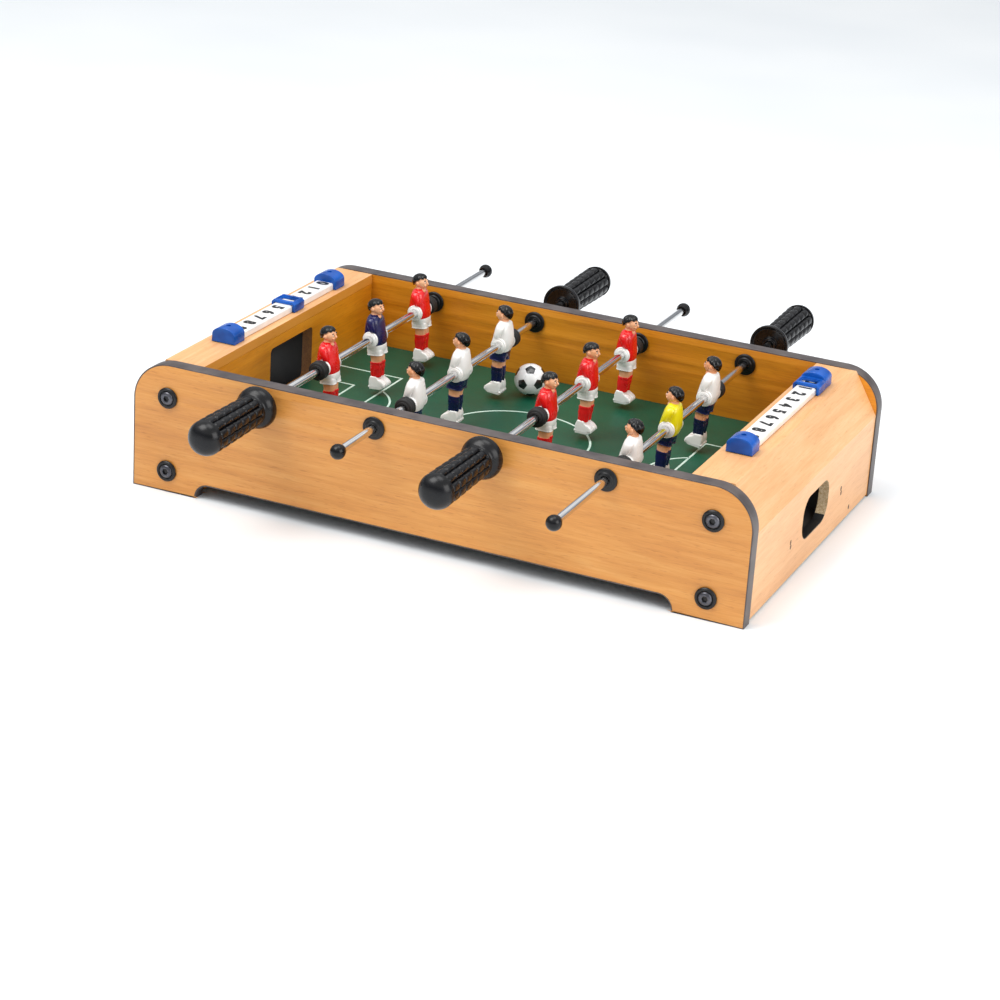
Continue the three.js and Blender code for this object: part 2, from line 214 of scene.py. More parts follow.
def finishMesh(mesh, sharpAngle):
    # closes poles and seams, turns faces outwards and smooths all but the sharp edges
    work = bmesh.new()
    work.from_mesh(mesh)
    bmesh.ops.remove_doubles(work, verts=work.verts, dist=1e-7)
    bmesh.ops.dissolve_degenerate(work, edges=work.edges, dist=1e-8)
    bmesh.ops.recalc_face_normals(work, faces=work.faces)
    work.to_mesh(mesh)
    work.free()
    mesh.polygons.foreach_set("use_smooth", np.ones(len(mesh.polygons), bool))
    mesh.set_sharp_from_angle(angle=math.radians(sharpAngle))


def pieceFromMesh(name, mesh, body, replaced=(), sharpAngle=38):
    # names what the piece moves with and the nodes it stands for
    finishMesh(mesh, sharpAngle)
    mesh.name = name
    piece = addObject(name, mesh)
    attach(piece, body)
    if replaced:
        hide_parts(*replaced)
    return piece


def joinedMesh(name, parts):
    # several skins in one mesh, each with its own material
    names = list(dict.fromkeys(part["material"] for part in parts))
    starts = np.cumsum([0] + [len(part["points"]) for part in parts[:-1]])
    faces, places = [], []
    for kind in ("quads", "triangles"):
        faces += np.vstack([part[kind] + start for part, start in zip(parts, starts)]).tolist()
        places += [np.full(len(part[kind]), names.index(part["material"])) for part in parts]
    mesh = bpy.data.meshes.new(name)
    mesh.from_pydata(np.vstack([part["points"] for part in parts]) / 1000, [], faces)
    for materialName in names:
        mesh.materials.append(materials[materialName])
    mesh.polygons.foreach_set("material_index", np.concatenate(places).astype(np.int32))
    return mesh


def makePiece(name, parts, body, replaced=(), sharpAngle=38):
    return pieceFromMesh(name, joinedMesh(name, parts), body, replaced, sharpAngle)


def coat(mesh, material):
    # one material over a whole mesh
    mesh.materials.clear()
    mesh.materials.append(materials[material])
    mesh.polygons.foreach_set("material_index", np.zeros(len(mesh.polygons), np.int32))
    return mesh


def flatMesh(name, outlines, thickness, rim, material):
    # a board cut from flat outlines in X and Z, the first its edge and the rest its holes
    curve = bpy.data.curves.new(name, "CURVE")
    curve.dimensions = "2D"
    curve.fill_mode = "BOTH"
    for outline in outlines:
        spline = curve.splines.new("POLY")
        spline.points.add(len(outline) - 1)
        flat = np.column_stack([outline / 1000, np.zeros(len(outline)), np.ones(len(outline))])
        spline.points.foreach_set("co", flat.ravel())
        spline.use_cyclic_u = True
    curve.extrude = (thickness / 2 - rim) / 1000
    curve.bevel_depth = rim / 1000
    curve.bevel_resolution = 2
    curve.offset = -rim / 1000
    holder = addObject(name, curve)
    mesh = shapedMesh(holder)
    bpy.data.objects.remove(holder)
    mesh.transform(Matrix.Rotation(math.pi / 2, 4, "X"))
    return coat(mesh, material)


def cutAway(piece, cutters):
    # takes the cutters' parts out of a piece, each as a clean exact cut
    for part in cutters:
        mesh = joinedMesh("cutter", [part])
        finishMesh(mesh, 30)
        cutter = addObject("cutter", mesh)
        step = piece.modifiers.new("cut", "BOOLEAN")
        step.operation = "DIFFERENCE"
        step.solver = "EXACT"
        step.object = cutter
        shaped = shapedMesh(piece)
        piece.modifiers.clear()
        piece.data = shaped
        bpy.data.objects.remove(cutter)
    finishMesh(piece.data, 38)


# each material is named for the real stuff and how it was made; the darker inner laminate also carries
# painted shade
materials = {}

def linear(hexText):
    # sRGB hex to linear colour with full opacity
    value = np.array([int(hexText[i:i + 2], 16) for i in (1, 3, 5)]) / 255
    value = np.where(value <= 0.04045, value / 12.92, ((value + 0.055) / 1.055) ** 2.4)
    return (*value.tolist(), 1.0)


def newMaterial(name, surface):
    # surface holds the shader's own socket values
    material = bpy.data.materials.new(name)
    material.use_nodes = True
    tree = material.node_tree
    shader = tree.nodes["Principled BSDF"]
    for socket, value in surface.items():
        shader.inputs[socket].default_value = value
    materials[name] = material
    return tree, shader


def addNode(tree, kind, settings=None):
    # settings are other nodes' outputs to join, socket values or the node's own properties
    node = tree.nodes.new(kind)
    for key, value in (settings or {}).items():
        if isinstance(value, bpy.types.NodeSocket):
            tree.links.new(value, node.inputs[key])
        elif key == "ramp":
            for stop, (place, colour) in enumerate(value):
                while len(node.color_ramp.elements) <= stop:
                    node.color_ramp.elements.new(1.0)
                node.color_ramp.elements[stop].position = place
                node.color_ramp.elements[stop].color = linear(colour)
        elif isinstance(key, int) or key in node.inputs:
            node.inputs[key].default_value = value
        else:
            setattr(node, key, value)
    return node


def noise(tree, sizeMm, detail, roughness=0.5, distortion=0.0):
    # Object coordinates divided by the pattern's real size, one for all axes or one for each
    sizes = sizeMm if isinstance(sizeMm, tuple) else (sizeMm,) * 3
    coordinates = addNode(tree, "ShaderNodeTexCoord").outputs["Object"]
    mapping = addNode(tree, "ShaderNodeMapping",
                      {"Scale": tuple(1000 / size for size in sizes), "Vector": coordinates})
    settings = {"Scale": 1.0, "Detail": detail, "Roughness": roughness, "Distortion": distortion,
                "Vector": mapping.outputs["Vector"]}
    return addNode(tree, "ShaderNodeTexNoise", settings).outputs["Fac"]


def ramp(tree, factor, *stops):
    return addNode(tree, "ShaderNodeValToRGB", {"ramp": stops, "Fac": factor}).outputs["Color"]


def mixColours(tree, factor, first, second, blend="MIX"):
    # sockets 0, 6 and 7 are the mix node's factor and its two colours
    settings = {"data_type": "RGBA", "blend_type": blend, 0: factor, 6: first, 7: second}
    return addNode(tree, "ShaderNodeMix", settings).outputs[2]


def compute(tree, operation, *values):
    return addNode(tree, "ShaderNodeMath", {"operation": operation, **dict(enumerate(values))}).outputs[0]


def remap(tree, value, fromRange, toRange):
    settings = dict(zip(("From Min", "From Max", "To Min", "To Max"), (*fromRange, *toRange)))
    return addNode(tree, "ShaderNodeMapRange", {**settings, "Value": value}).outputs["Result"]


def dressShader(tree, shader, colour, gloss, roughness, texture=None, depthMm=0.0, strength=0.6):
    # joins the colour, a roughness that drifts between two values, and a fine bump
    tree.links.new(colour, shader.inputs["Base Color"])
    tree.links.new(remap(tree, gloss, (0.0, 1.0), roughness), shader.inputs["Roughness"])
    if texture is not None:
        settings = {"Strength": strength, "Distance": depthMm / 1000, "Height": texture}
        bump = addNode(tree, "ShaderNodeBump", settings)
        tree.links.new(bump.outputs["Normal"], shader.inputs["Normal"])


def woodPrintLaminate(name, tones, grainAxis, cutTone=None, innerTone=None):
    # Maple-coloured wood grain printed on paper, pressed on board under a satin film: low contrast
    # streaks a few millimetres wide, short darker pores, broad soft clouds and a mild sheen.
    tree, shader = newMaterial(name, {"IOR": 1.5, "Coat Weight": 0.18, "Coat Roughness": 0.28})

    def grain(length, width, *settings):
        return noise(tree, tuple(length if axis == grainAxis else width for axis in "XYZ"), *settings)

    clouds = grain(150, 55, 3.0)
    bands = grain(110, 7.5, 5.0, 0.62, 0.5)
    fibres = grain(26, 1.1, 3.0, 0.7)
    pores = grain(9, 0.8, 1.0)
    streaks = addNode(tree, "ShaderNodeMix", {"data_type": "FLOAT", 0: 0.38, 2: bands, 3: fibres}).outputs[0]
    tone = ramp(tree, streaks, *zip((0.3, 0.5, 0.7), tones))
    poreMask = remap(tree, pores, (0.64, 0.76), (0.0, 0.32))
    withPores = mixColours(tree, poreMask, tone, linear("#B47B42"), "MULTIPLY")
    cloudTone = ramp(tree, clouds, (0.3, "#F1EBE3"), (0.65, "#FFFFFF"))
    shown = mixColours(tree, 1.0, withPores, cloudTone, "MULTIPLY")
    place = addNode(tree, "ShaderNodeTexCoord").outputs
    normal = addNode(tree, "ShaderNodeSeparateXYZ", {0: place["Normal"]}).outputs
    position = addNode(tree, "ShaderNodeSeparateXYZ", {0: place["Object"]}).outputs
    outward = compute(tree, "ABSOLUTE", position["X"])
    if cutTone:
        # raw board where the sheet was sawn: only faces turned away from X near the board's own skin
        sawn = compute(tree, "LESS_THAN", compute(tree, "ABSOLUTE", normal["X"]), 0.3)
        nearSkin = compute(tree, "GREATER_THAN", outward, cutTone["beyondMm"] / 1000)
        below = compute(tree, "LESS_THAN", position["Z"], cutTone["belowMm"] / 1000)
        mask = compute(tree, "MULTIPLY", compute(tree, "MULTIPLY", sawn, nearSkin), below)
        chips = ramp(tree, noise(tree, 1.6, 4.0, 0.8), *zip((0.35, 0.62), cutTone["tones"]))
        shown = mixColours(tree, mask, shown, chips)
    if innerTone:
        # the long upright edge that looks into the table is mixed towards the walls' amber: painted shade of
        # the well
        near = compute(tree, "LESS_THAN", outward, innerTone["withinMm"] / 1000)
        upright = compute(tree, "LESS_THAN", compute(tree, "ABSOLUTE", normal["Z"]), 0.5)
        inner = compute(tree, "MULTIPLY", compute(tree, "MULTIPLY", near, upright), innerTone["share"])
        shown = mixColours(tree, inner, shown, linear(innerTone["shadeAmber"]))
    dressShader(tree, shader, shown, bands, (0.36, 0.5), fibres, 0.05)


def mouldedPlastic(name, light, dark, roughness, surface=None, skinMm=0.02, textureMm=1.4, patchMm=14):
    # Injection-moulded or painted plastic: nearly even colour, a faint drift of tone, and a skin
    # that is slightly uneven, so highlights stay bright but not perfectly sharp.
    tree, shader = newMaterial(name, {"IOR": 1.5, **(surface or {})})
    patches = noise(tree, patchMm, 2.0)
    tone = ramp(tree, patches, (0.35, dark), (0.65, light))
    skin = noise(tree, textureMm, 3.0, 0.6)
    dressShader(tree, shader, tone, patches, (roughness - 0.05, roughness + 0.07), skin, skinMm)


def drawnChromedTube(name):
    # Thin steel tube, drawn and bright chromed: mirror-like across, with fine lines along its length.
    tree, shader = newMaterial(name, {"Metallic": 1.0})
    lines = noise(tree, (0.7, 60, 0.7), 3.0, 0.7)
    smears = noise(tree, (5, 22, 5), 2.0)
    tone = ramp(tree, lines, (0.3, "#D6D6D7"), (0.7, "#F4F4F4"))
    dressShader(tree, shader, tone, smears, (0.1, 0.2), lines, 0.03, 0.5)


def printedPitch(name):
    # Green ink printed on hardboard and varnished: soft mottling, a fine paper tooth and a dull gloss.
    surface = {"IOR": 1.5, "Specular IOR Level": 0.3, "Coat Weight": 0.08, "Coat Roughness": 0.3}
    tree, shader = newMaterial(name, surface)
    mottle = noise(tree, 60, 4.0, 0.6)
    tooth = noise(tree, 1.2, 3.0, 0.75)
    ink = ramp(tree, mottle, (0.3, "#0A4833"), (0.7, "#105C43"))
    paper = ramp(tree, tooth, (0.3, "#DCDCDC"), (0.7, "#FFFFFF"))
    colour = mixColours(tree, 1.0, ink, paper, "MULTIPLY")
    dressShader(tree, shader, colour, mottle, (0.38, 0.52), tooth, 0.03)


def ballSkin(name):
    # Hard white plastic ball with black patches printed from the piece's own patch value, which is
    # above zero inside a patch, and a faint grey line along the seams between panels.
    tree, shader = newMaterial(name, {"IOR": 1.5, "Coat Weight": 0.5, "Coat Roughness": 0.12})
    patch = addNode(tree, "ShaderNodeAttribute", {"attribute_name": "patch"}).outputs["Fac"]
    seam = addNode(tree, "ShaderNodeAttribute", {"attribute_name": "seam"}).outputs["Fac"]
    drift = noise(tree, 8, 2.0)
    white = ramp(tree, drift, (0.3, "#ECEDEE"), (0.7, "#FAFAFA"))
    seamed = mixColours(tree, remap(tree, seam, (0.0, 0.03), (0.3, 0.0)), white, linear("#9FA3A8"))
    inPatch = remap(tree, patch, (-0.004, 0.004), (0.0, 1.0))
    dressShader(tree, shader, mixColours(tree, inPatch, seamed, linear("#121214")), drift, (0.22, 0.34))


woodPrintLaminate("panelLaminate", ("#C4803A", "#D79345", "#E2A55A"), "X")
# the side boards' faces turned into the table: the same print in darker, deeper amber tones, painted shade of
# the well
woodPrintLaminate("shadedInnerLaminate", ("#B86E0A", "#D48712", "#E49A26"), "X")
# end covers: the long edge looking into the table is given the walls' amber as painted shade
woodPrintLaminate("endBoardLaminate", ("#D89C60", "#E8B078", "#F0C08E"), "Y",
                  {"beyondMm": 245.9, "belowMm": 60, "tones": ("#A9855A", "#DCC9A6")},
                  {"withinMm": 200.9, "shadeAmber": "#DE8E10", "share": 0.82})
woodPrintLaminate("wallLaminate", ("#CC7E08", "#E69414", "#F4A82A"), "Y",
                  {"beyondMm": 200.6, "belowMm": 90, "tones": ("#7A4E26", "#9B6A38")})
# light tone, dark tone, roughness, other socket values, then the skin's depth and size and the patches' size
plastics = {
    "edgeBand": ("#5B5351", "#443D3D", 0.42, None, 0.05, 3.0),
    "handlePlastic": ("#0C0C10", "#070709", 0.25, {"Specular IOR Level": 0.33}),
    "fittingPlastic": ("#0F0F11", "#08080A", 0.33, {"Specular IOR Level": 0.4}),
    "chutePlastic": ("#141416", "#0C0C0E", 0.5, None, 0.06, 2.5),
    "bumperRubber": ("#1B1B1C", "#121213", 0.62, None, 0.05, 0.8),
    "redPaint": ("#F01016", "#DB0A10", 0.26, {"Coat Weight": 0.5, "Coat Roughness": 0.14}),
    "navyPaint": ("#0E1050", "#090A38", 0.26, {"Coat Weight": 0.25, "Coat Roughness": 0.12}),
    "whitePaint": ("#FDFCFA", "#F5F4F0", 0.28, {"Coat Weight": 0.4, "Coat Roughness": 0.16}),
    "yellowPaint": ("#F6EC17", "#E9DA10", 0.28, {"Coat Weight": 0.4, "Coat Roughness": 0.16}),
    "skinPaint": ("#FCBE92", "#F3A877", 0.34, {"Coat Weight": 0.2, "Coat Roughness": 0.2}),
    "hairPaint": ("#070709", "#030304", 0.16, {"Specular IOR Level": 0.42}),
    "lipPaint": ("#B5584A", "#A04A3E", 0.35),
    "blockPlastic": ("#1459B6", "#0A4596", 0.22, {"Specular IOR Level": 0.32}),
    "blackenedSteel": ("#6A6A70", "#4C4C52", 0.3, {"Metallic": 0.85}, 0.02, 1.0),
    "railPlastic": ("#F7F5F3", "#ECE9E6", 0.3, {"Coat Weight": 0.3, "Coat Roughness": 0.2}),
    "numberInk": ("#111113", "#0A0A0B", 0.4),
    "lineInk": ("#D3E6DB", "#B9D6C8", 0.45, None, 0.02, 1.0),
    "stapleSteel": ("#6B4A2E", "#3F2A1A", 0.45, {"Metallic": 0.6}, 0.02, 0.8),
    "studioFloor": ("#F4F7F9", "#EEF2F5", 0.6, None, 0.02, 3.0, 400),
}
for name, settings in plastics.items():
    mouldedPlastic(name, *settings)
drawnChromedTube("chromedTube")
printedPitch("pitchPrint")
ballSkin("ballPlastic")
print("materials made:", len(materials))


def arc(middleX, middleZ, radius, start, end, count=16):
    # points on a circle between two angles in degrees
    angle = np.radians(np.linspace(start, end, count))
    return np.stack([middleX + radius * np.cos(angle), middleZ + radius * np.sin(angle)], 1)


def dress(node, material):
    for place in frame["nodes"][node].material_slots:
        place.material = materials[material]


panel = {"corner": 32, "footInner": 198.7, "notchHeight": 11.9, "notchRadius": 11, "band": 1.1,
         "bandRim": 0.7, "boardRim": 0.25, "rodHole": 6.5, "boltHole": 3.0, "boltX": 224.5, "boltInset": 9}


def panelOutline(half, top):
    # a long board with rounded top corners, and a shallow notch that leaves a foot at each end
    notchX = panel["footInner"] - panel["notchRadius"]
    notchZ = panel["notchHeight"] - panel["notchRadius"]
    corner = panel["corner"]
    return np.vstack([
        [(-half, 0), (-panel["footInner"], 0)],
        arc(-notchX, notchZ, panel["notchRadius"], 180, 90),
        arc(notchX, notchZ, panel["notchRadius"], 90, 0),
        [(panel["footInner"], 0), (half, 0)],
        arc(half - corner, top - corner, corner, 0, 90, 28),
        arc(corner - half, top - corner, corner, 90, 180, 28),
    ])


def sidePanel(node):
    # board core with its holes, and a domed plastic band pressed round its whole edge
    low, high = boxOf(node)
    outline = panelOutline(high[0], high[2])
    middle, thickness = (low[1] + high[1]) / 2, high[1] - low[1]
    holes = [arc(*rodAxis(number), panel["rodHole"], 0, 348.75, 32) for number in range(1, 5)]
    lowBolt, highBolt = boxOf("front_left_bolt_pair")
    boltZ = (lowBolt[2] + panel["boltInset"], highBolt[2] - panel["boltInset"])
    for side in (-1, 1):
        holes += [arc(side * panel["boltX"], z, panel["boltHole"], 0, 337.5, 16) for z in boltZ]
    core = insetOutline(outline, panel["band"] - 0.02)
    board = flatMesh(node, [core, *holes], thickness, panel["boardRim"], "panelLaminate")
    board.transform(Matrix.Translation((0, middle / 1000, 0)))
    # the faces turned into the table take the darker inner laminate: painted shade of the well
    board.materials.append(materials["shadedInnerLaminate"])
    normals = np.empty(len(board.polygons) * 3)
    board.polygons.foreach_get("normal", normals)
    inward = normals.reshape(-1, 3)[:, 1] * np.sign(low[1]) < -0.7
    board.polygons.foreach_set("material_index", inward.astype(np.int32))
    pieceFromMesh(f"{node}_board", board, "table", [node])
    band, half = panel["band"], thickness / 2
    edge = eased([(band, -half), (0, -half), (0, half), (band, half)], panel["bandRim"], closed=True)
    skin = rimmed(outline, edge[:, 0], edge[:, 1] + middle, "edgeBand", wrapRows=True)
    makePiece(f"{node}_edge_band", [skin], "table", sharpAngle=50)


for node in ("front_side_panel", "rear_side_panel"):
    sidePanel(node)
dress("playfield", "pitchPrint")
for end in ("left", "right"):
    dress(f"{end}_goal_wall", "wallLaminate")
    dress(f"{end}_end_cover", "endBoardLaminate")
    dress(f"{end}_goal_cup", "chutePlastic")


outlet = {"width": 62, "low": 21.3, "corner": 14, "lip": 0.6, "inside": 246.0, "face": 253.8}
nail = {"face": 253.9, "radii": (0.3, 1.8, 2.2),
        "places": [(65, 33.8), (66, 29.8), (-57, 32.2), (-56, 28.2), (93, 8.5)]}


def outletLip(end, side):
    # the chute's own lip lines the lower part of the outlet, up to the face of the board
    corner, floorZ = outlet["corner"], outlet["low"]
    middle = outlet["width"] / 2 - corner
    path = np.vstack([
        arc(-middle, floorZ + corner, corner - 0.05, 215, 270, 14),
        arc(middle, floorZ + corner, corner - 0.05, 270, 312, 12),
    ])
    upper = path + leftOf(np.gradient(path, axis=0)) * outlet["lip"]
    inside, face = side * outlet["inside"], side * outlet["face"]
    rows = [(inside, path), (face, path), (face, upper), (inside, upper)]
    grid = np.stack([np.column_stack([np.full(len(line), x), line + (middleY, 0)]) for x, line in rows], 1)
    makePiece(f"{end}_outlet_lip", [shell(grid, "chutePlastic")], "table")


def nailMarks(end, side):
    parts = [ellipsoid((side * nail["face"], y + middleY, z), nail["radii"], "stapleSteel", 10, 16)
             for y, z in nail["places"]]
    makePiece(f"{end}_nail_heads", parts, "table")


for end, side in (("left", -1), ("right", 1)):
    outletLip(end, side)
    nailMarks(end, side)
print("boards done")


# lines printed on the playfield, measured from its middle
pitch = {"lineWidth": 1.75, "ink": 0.1, "penaltyX": 135.7, "penaltyY": 75.7, "goalX": 161.7, "goalY": 39.0,
         "arcX": 161.2, "arcRadius": 46.6, "circle": 62.0, "spot": 2.4, "margin": 0.2}


def ribbon(path, closed=False):
    # a flat strip of ink along a path in X and Y, with square corners mitred
    path = np.asarray(path, float)
    back = path - np.roll(path, 1, 0)
    ahead = np.roll(path, -1, 0) - path
    if not closed:
        back[0], ahead[-1] = ahead[0], back[-1]
    before, after = leftOf(back), leftOf(ahead)
    mitre = (before + after) / (1 + np.sum(before * after, 1, keepdims=True))
    reach = mitre * pitch["lineWidth"] / 2
    top, base = fieldHigh[2] + pitch["ink"], fieldHigh[2] - 0.02
    corners = [(path + reach, top), (path - reach, top), (path - reach, base), (path + reach, base)]
    grid = np.stack([np.column_stack([flat, np.full(len(flat), z)]) for flat, z in corners], 1)
    grid[..., 1] += middleY
    return shell(grid, "lineInk", wrapRows=closed)


def pitchLines():
    # halfway line, circle, spot, and at each end two boxes and an arc
    endX = fieldHigh[0] - pitch["margin"]
    sideY = (fieldHigh[1] - fieldLow[1]) / 2 - pitch["margin"]
    lines = [ribbon([(0, -sideY), (0, sideY)])]
    lines.append(ribbon(arc(0, 0, pitch["circle"], 0, 356, 90), closed=True))
    lines.append(ribbon(arc(0, 0, pitch["spot"] / 2, 0, 330, 12), closed=True))
    swing = math.degrees(math.acos((pitch["arcX"] - pitch["penaltyX"]) / pitch["arcRadius"]))
    for side in (-1, 1):
        for boxX, boxY in ((pitch["penaltyX"], pitch["penaltyY"]), (pitch["goalX"], pitch["goalY"])):
            corners = np.array([(endX, boxY), (boxX, boxY), (boxX, -boxY), (endX, -boxY)])
            lines.append(ribbon(corners * (side, 1)))
        turn = 180 if side > 0 else 0
        lines.append(ribbon(arc(side * pitch["arcX"], 0, pitch["arcRadius"], turn - swing, turn + swing, 40)))
    makePiece("pitch_lines", lines, "table", sharpAngle=30)


pitchLines()
print("pitch lines done")


# bolts, bushings, rods, bumpers and caps are profiles of radius and height turned about Y
bolt = {"headRadius": 8.5, "socketRadius": 2.5, "shank": 2.7, "reach": 9.0, "stripInset": 2.5,
        "stripDepth": 12.4, "stripThickness": 3.3}


def hexagonal(part, rows, segments):
    # pulls some rings of a turned part in to a hexagon
    points = part["points"].copy()
    ring = points[:-2].reshape(-1, segments, 3)
    angle = np.arctan2(ring[rows, :, 2], ring[rows, :, 0])
    pull = math.cos(math.pi / 6) / np.cos((angle % (math.pi / 3)) - math.pi / 6)
    ring[rows, :, 0] *= pull
    ring[rows, :, 2] *= pull
    points[:-2] = ring.reshape(-1, 3)
    return {**part, "points": points}


def boltPair(sideName, endName):
    # two washers with hexagonal screws in them, and the nut strip behind the board
    node = f"{sideName}_{endName}_bolt_pair"
    low, high = boxOf(node)
    side = -1 if sideName == "front" else 1
    outer = boxOf(f"{sideName}_side_panel")[0 if side < 0 else 1][1]
    tip = (low if side < 0 else high)[1]
    height = abs(tip - outer)
    radius, socket = bolt["headRadius"], bolt["socketRadius"]
    cup = np.array([
        (0, -1), (bolt["shank"], -1), (bolt["shank"], 0), (radius - 0.3, 0), (radius, 0.5), (radius, 1.3),
        (radius - 1.0, 2.2), (radius - 2.2, 2.3), (radius - 2.8, 1.5), (0, 1.4),
    ])
    screw = np.array([
        (0, -14), (bolt["shank"], -14), (bolt["shank"], 1.0), (5.3, 1.0), (5.4, 1.6), (4.9, height - 0.7),
        (3.8, height - 0.1), (socket + 0.5, height), (socket, height - 0.4), (socket, 0.9), (0, 0.7),
    ])
    parts = []
    for z in (low[2] + bolt["reach"], high[2] - bolt["reach"]):
        place = ((low[0] + high[0]) / 2, outer, z)
        parts.append(moved(turned(eased(cup, 0.3) * (1, side), "fittingPlastic", 60), place))
        head = hexagonal(turned(screw * (1, side), "blackenedSteel", 60), [8, 9], 60)
        parts.append(moved(head, place))
    left, right = low[0] + bolt["stripInset"], high[0] - bolt["stripInset"]
    strip = np.array([(left, low[2]), (right, low[2]), (right, high[2]), (left, high[2])])
    inner = outer - side * bolt["stripDepth"]
    ends = sorted([inner, inner - side * bolt["stripThickness"]])
    parts.append(slab(eased(strip, 2.0, closed=True), *ends, 0.5, "fittingPlastic"))
    makePiece(f"{node}_fixing", parts, "table", [node])


for sideName in ("front", "rear"):
    for endName in ("left", "right"):
        boltPair(sideName, endName)

fittings = {"bore": 3.45, "barrel": 6.2, "flange": 9.0, "flangeStart": 6.3, "bumper": 7.7, "cap": 6.25,
            "rod": 3.15}


def ringPiece(node, half, waist, ease, material, body):
    # a profile for one end, mirrored to the other, eased and turned about Y
    profile = np.vstack([half, waist, half[::-1] * (1, -1)])
    ring = turned(eased(profile, ease, closed=True, steps=3), material, 56, wrapRows=True)
    makePiece(f"{node}_ring", [moved(ring, middleOf(node))], body, [node])


def bushing(node):
    # a barrel in the wall with a stepped flange at each end
    low, high = boxOf(node)
    end = (high[1] - low[1]) / 2
    flange, start = fittings["flange"], fittings["flangeStart"]
    half = np.array([(fittings["barrel"], start), (flange, start), (flange, end - 1.6),
                     (flange - 1.2, end - 0.9), (6.2, end - 0.8), (5.7, end), (fittings["bore"], end)])
    ringPiece(node, half * (1, -1), np.zeros((0, 2)), 0.5, "fittingPlastic", "table")


def bumper(node, body):
    # a rubber ring with a lip at each end and a slight waist
    low, high = boxOf(node)
    end, radius, bore = (high[1] - low[1]) / 2, fittings["bumper"], fittings["bore"]
    half = np.array([(bore, end), (5.0, end), (5.4, end - 0.5), (6.4, end - 0.5), (radius, end - 1.5),
                     (radius, end - 3.4)])
    ringPiece(node, half, [(radius - 0.35, 0)], 0.7, "bumperRubber", body)


def rod(number, body):
    # a straight tube with its ends eased over
    node = f"rod_{number}"
    low, high = boxOf(node)
    x, z = rodAxis(number)
    radius = fittings["rod"]
    profile = eased([(0, low[1]), (radius, low[1]), (radius, high[1]), (0, high[1])], 0.5)
    tube = turned(profile, "chromedTube", 64)
    makePiece(f"{node}_tube", [moved(tube, (x, 0, z))], body, [node])


def endCap(number, side):
    # a ball cut off flat where the rod goes in
    node = f"rod_{number}_end_cap"
    low, high = boxOf(node)
    x, z = rodAxis(number)
    radius, bore = fittings["cap"] - 0.35, fittings["bore"]
    middle = high[1] - radius - 0.3 if side > 0 else low[1] + radius + 0.3
    start = math.atan2(-math.sqrt(radius ** 2 - bore ** 2), bore)
    angle = np.linspace(start, math.pi / 2, 22)
    dome = np.stack([radius * np.cos(angle), radius * np.sin(angle)], 1)
    collar = [(0, 0.3), (bore, 0.3), (bore, dome[0, 1]), (bore + 0.9, dome[0, 1])]
    profile = np.vstack([collar, dome[3:]]) * (1, side)
    makePiece(f"{node}_knob", [moved(turned(profile, "handlePlastic", 48), (x, middle, z))],
              f"rod_{number}_carriage", [node])


# the handle's ribs are cut into pads by rings, between a hollow collar and a smooth dome
grip = {"length": 88.6, "neck": 12.6, "start": 12.5, "end": 76.5, "top": 13.7, "ribs": 10, "pads": 6,
        "grooveDepth": 2.8, "ringDepth": 1.3, "dome": 11.2, "shoulder": 0.9}


def smoothStep(value, low, high):
    # rises from 0 to 1 between two values, level at both
    t = np.clip((value - low) / (high - low), 0, 1)
    return t * t * (3 - 2 * t)


def handle(number, side):
    # radius = base taper, less a groove between ribs and a shallower ring between pads
    node = f"rod_{number}_handle"
    low, high = boxOf(node)
    x, z = rodAxis(number)
    inside = eased([
        (0, 76), (3.45, 76), (3.45, 0.8), (5.6, 0.8), (5.9, 3.4), (13.6, 2.6), (15.2, 0.0), (16.3, 0.0),
        (16.5, 1.4), (16.4, 3.6), (15.6, 6.0), (14.0, 8.2), (12.2, 9.8), (11.6, 11.2),
    ], 1.2)
    height = np.linspace(grip["start"] - 0.8, grip["end"] + 1.0, 170)
    share = (height - grip["start"]) / (grip["end"] - grip["start"])
    base = grip["neck"] + (grip["top"] - grip["neck"]) * np.clip(share * 1.25, 0, 1)
    domeAngle = np.linspace(0.02, math.pi / 2, 20)
    domeStart = grip["length"] - grip["dome"]
    domeRadius = grip["top"] * np.cos(domeAngle) ** 0.86
    dome = np.stack([domeRadius, domeStart + grip["dome"] * np.sin(domeAngle)], 1)
    profile = np.vstack([inside, np.stack([base, height], 1), dome])
    segments = grip["ribs"] * 16
    angle = np.linspace(0, 2 * np.pi, segments, endpoint=False)
    radius = np.repeat(profile[:, :1], segments, 1)
    onGrip = slice(len(inside), len(inside) + len(height))
    around = np.abs((angle / (2 * np.pi) * grip["ribs"]) % 1 - 0.5)[None]
    along = np.abs((share * grip["pads"]) % 1 - 0.5)[:, None]
    rib = np.sqrt(np.clip(1 - (around / 0.46) ** 2.6, 0, 1))
    pad = 1 - (along / 0.5) ** 3.5
    inGrip = (smoothStep(share, -0.012, 0.012) * (1 - smoothStep(share, 0.988, 1.012)))[:, None]
    radius[onGrip] -= inGrip * (grip["grooveDepth"] * (1 - rib) + grip["ringDepth"] * rib * (1 - pad))
    radius[onGrip] -= (1 - inGrip) * grip["shoulder"]
    heights = np.repeat(profile[:, 1:], segments, 1)
    grid = np.stack([radius * np.cos(angle), side * heights, radius * np.sin(angle)], -1)
    collarY = low[1] if side > 0 else high[1]
    makePiece(f"{node}_grip", [moved(shell(grid, "handlePlastic"), (x, collarY, z))],
              f"rod_{number}_assembly", [node], sharpAngle=60)


for number in range(1, 5):
    handleSide = -1 if middleOf(f"rod_{number}_handle")[1] < 0 else 1
    assembly = f"rod_{number}_assembly"
    rod(number, assembly)
    handle(number, handleSide)
    endCap(number, -handleSide)
    for place in ("front", "rear"):
        bushing(f"rod_{number}_bushing_{place}")
        bumper(f"rod_{number}_bumper_{place}", assembly)
print("rods done")


# players are toy figures facing +X, with the rod's axis at their zero
paintSlots = {"redPaint": "red_plastic", "navyPaint": "navy_plastic", "whitePaint": "white_plastic",
              "yellowPaint": "yellow_plastic"}

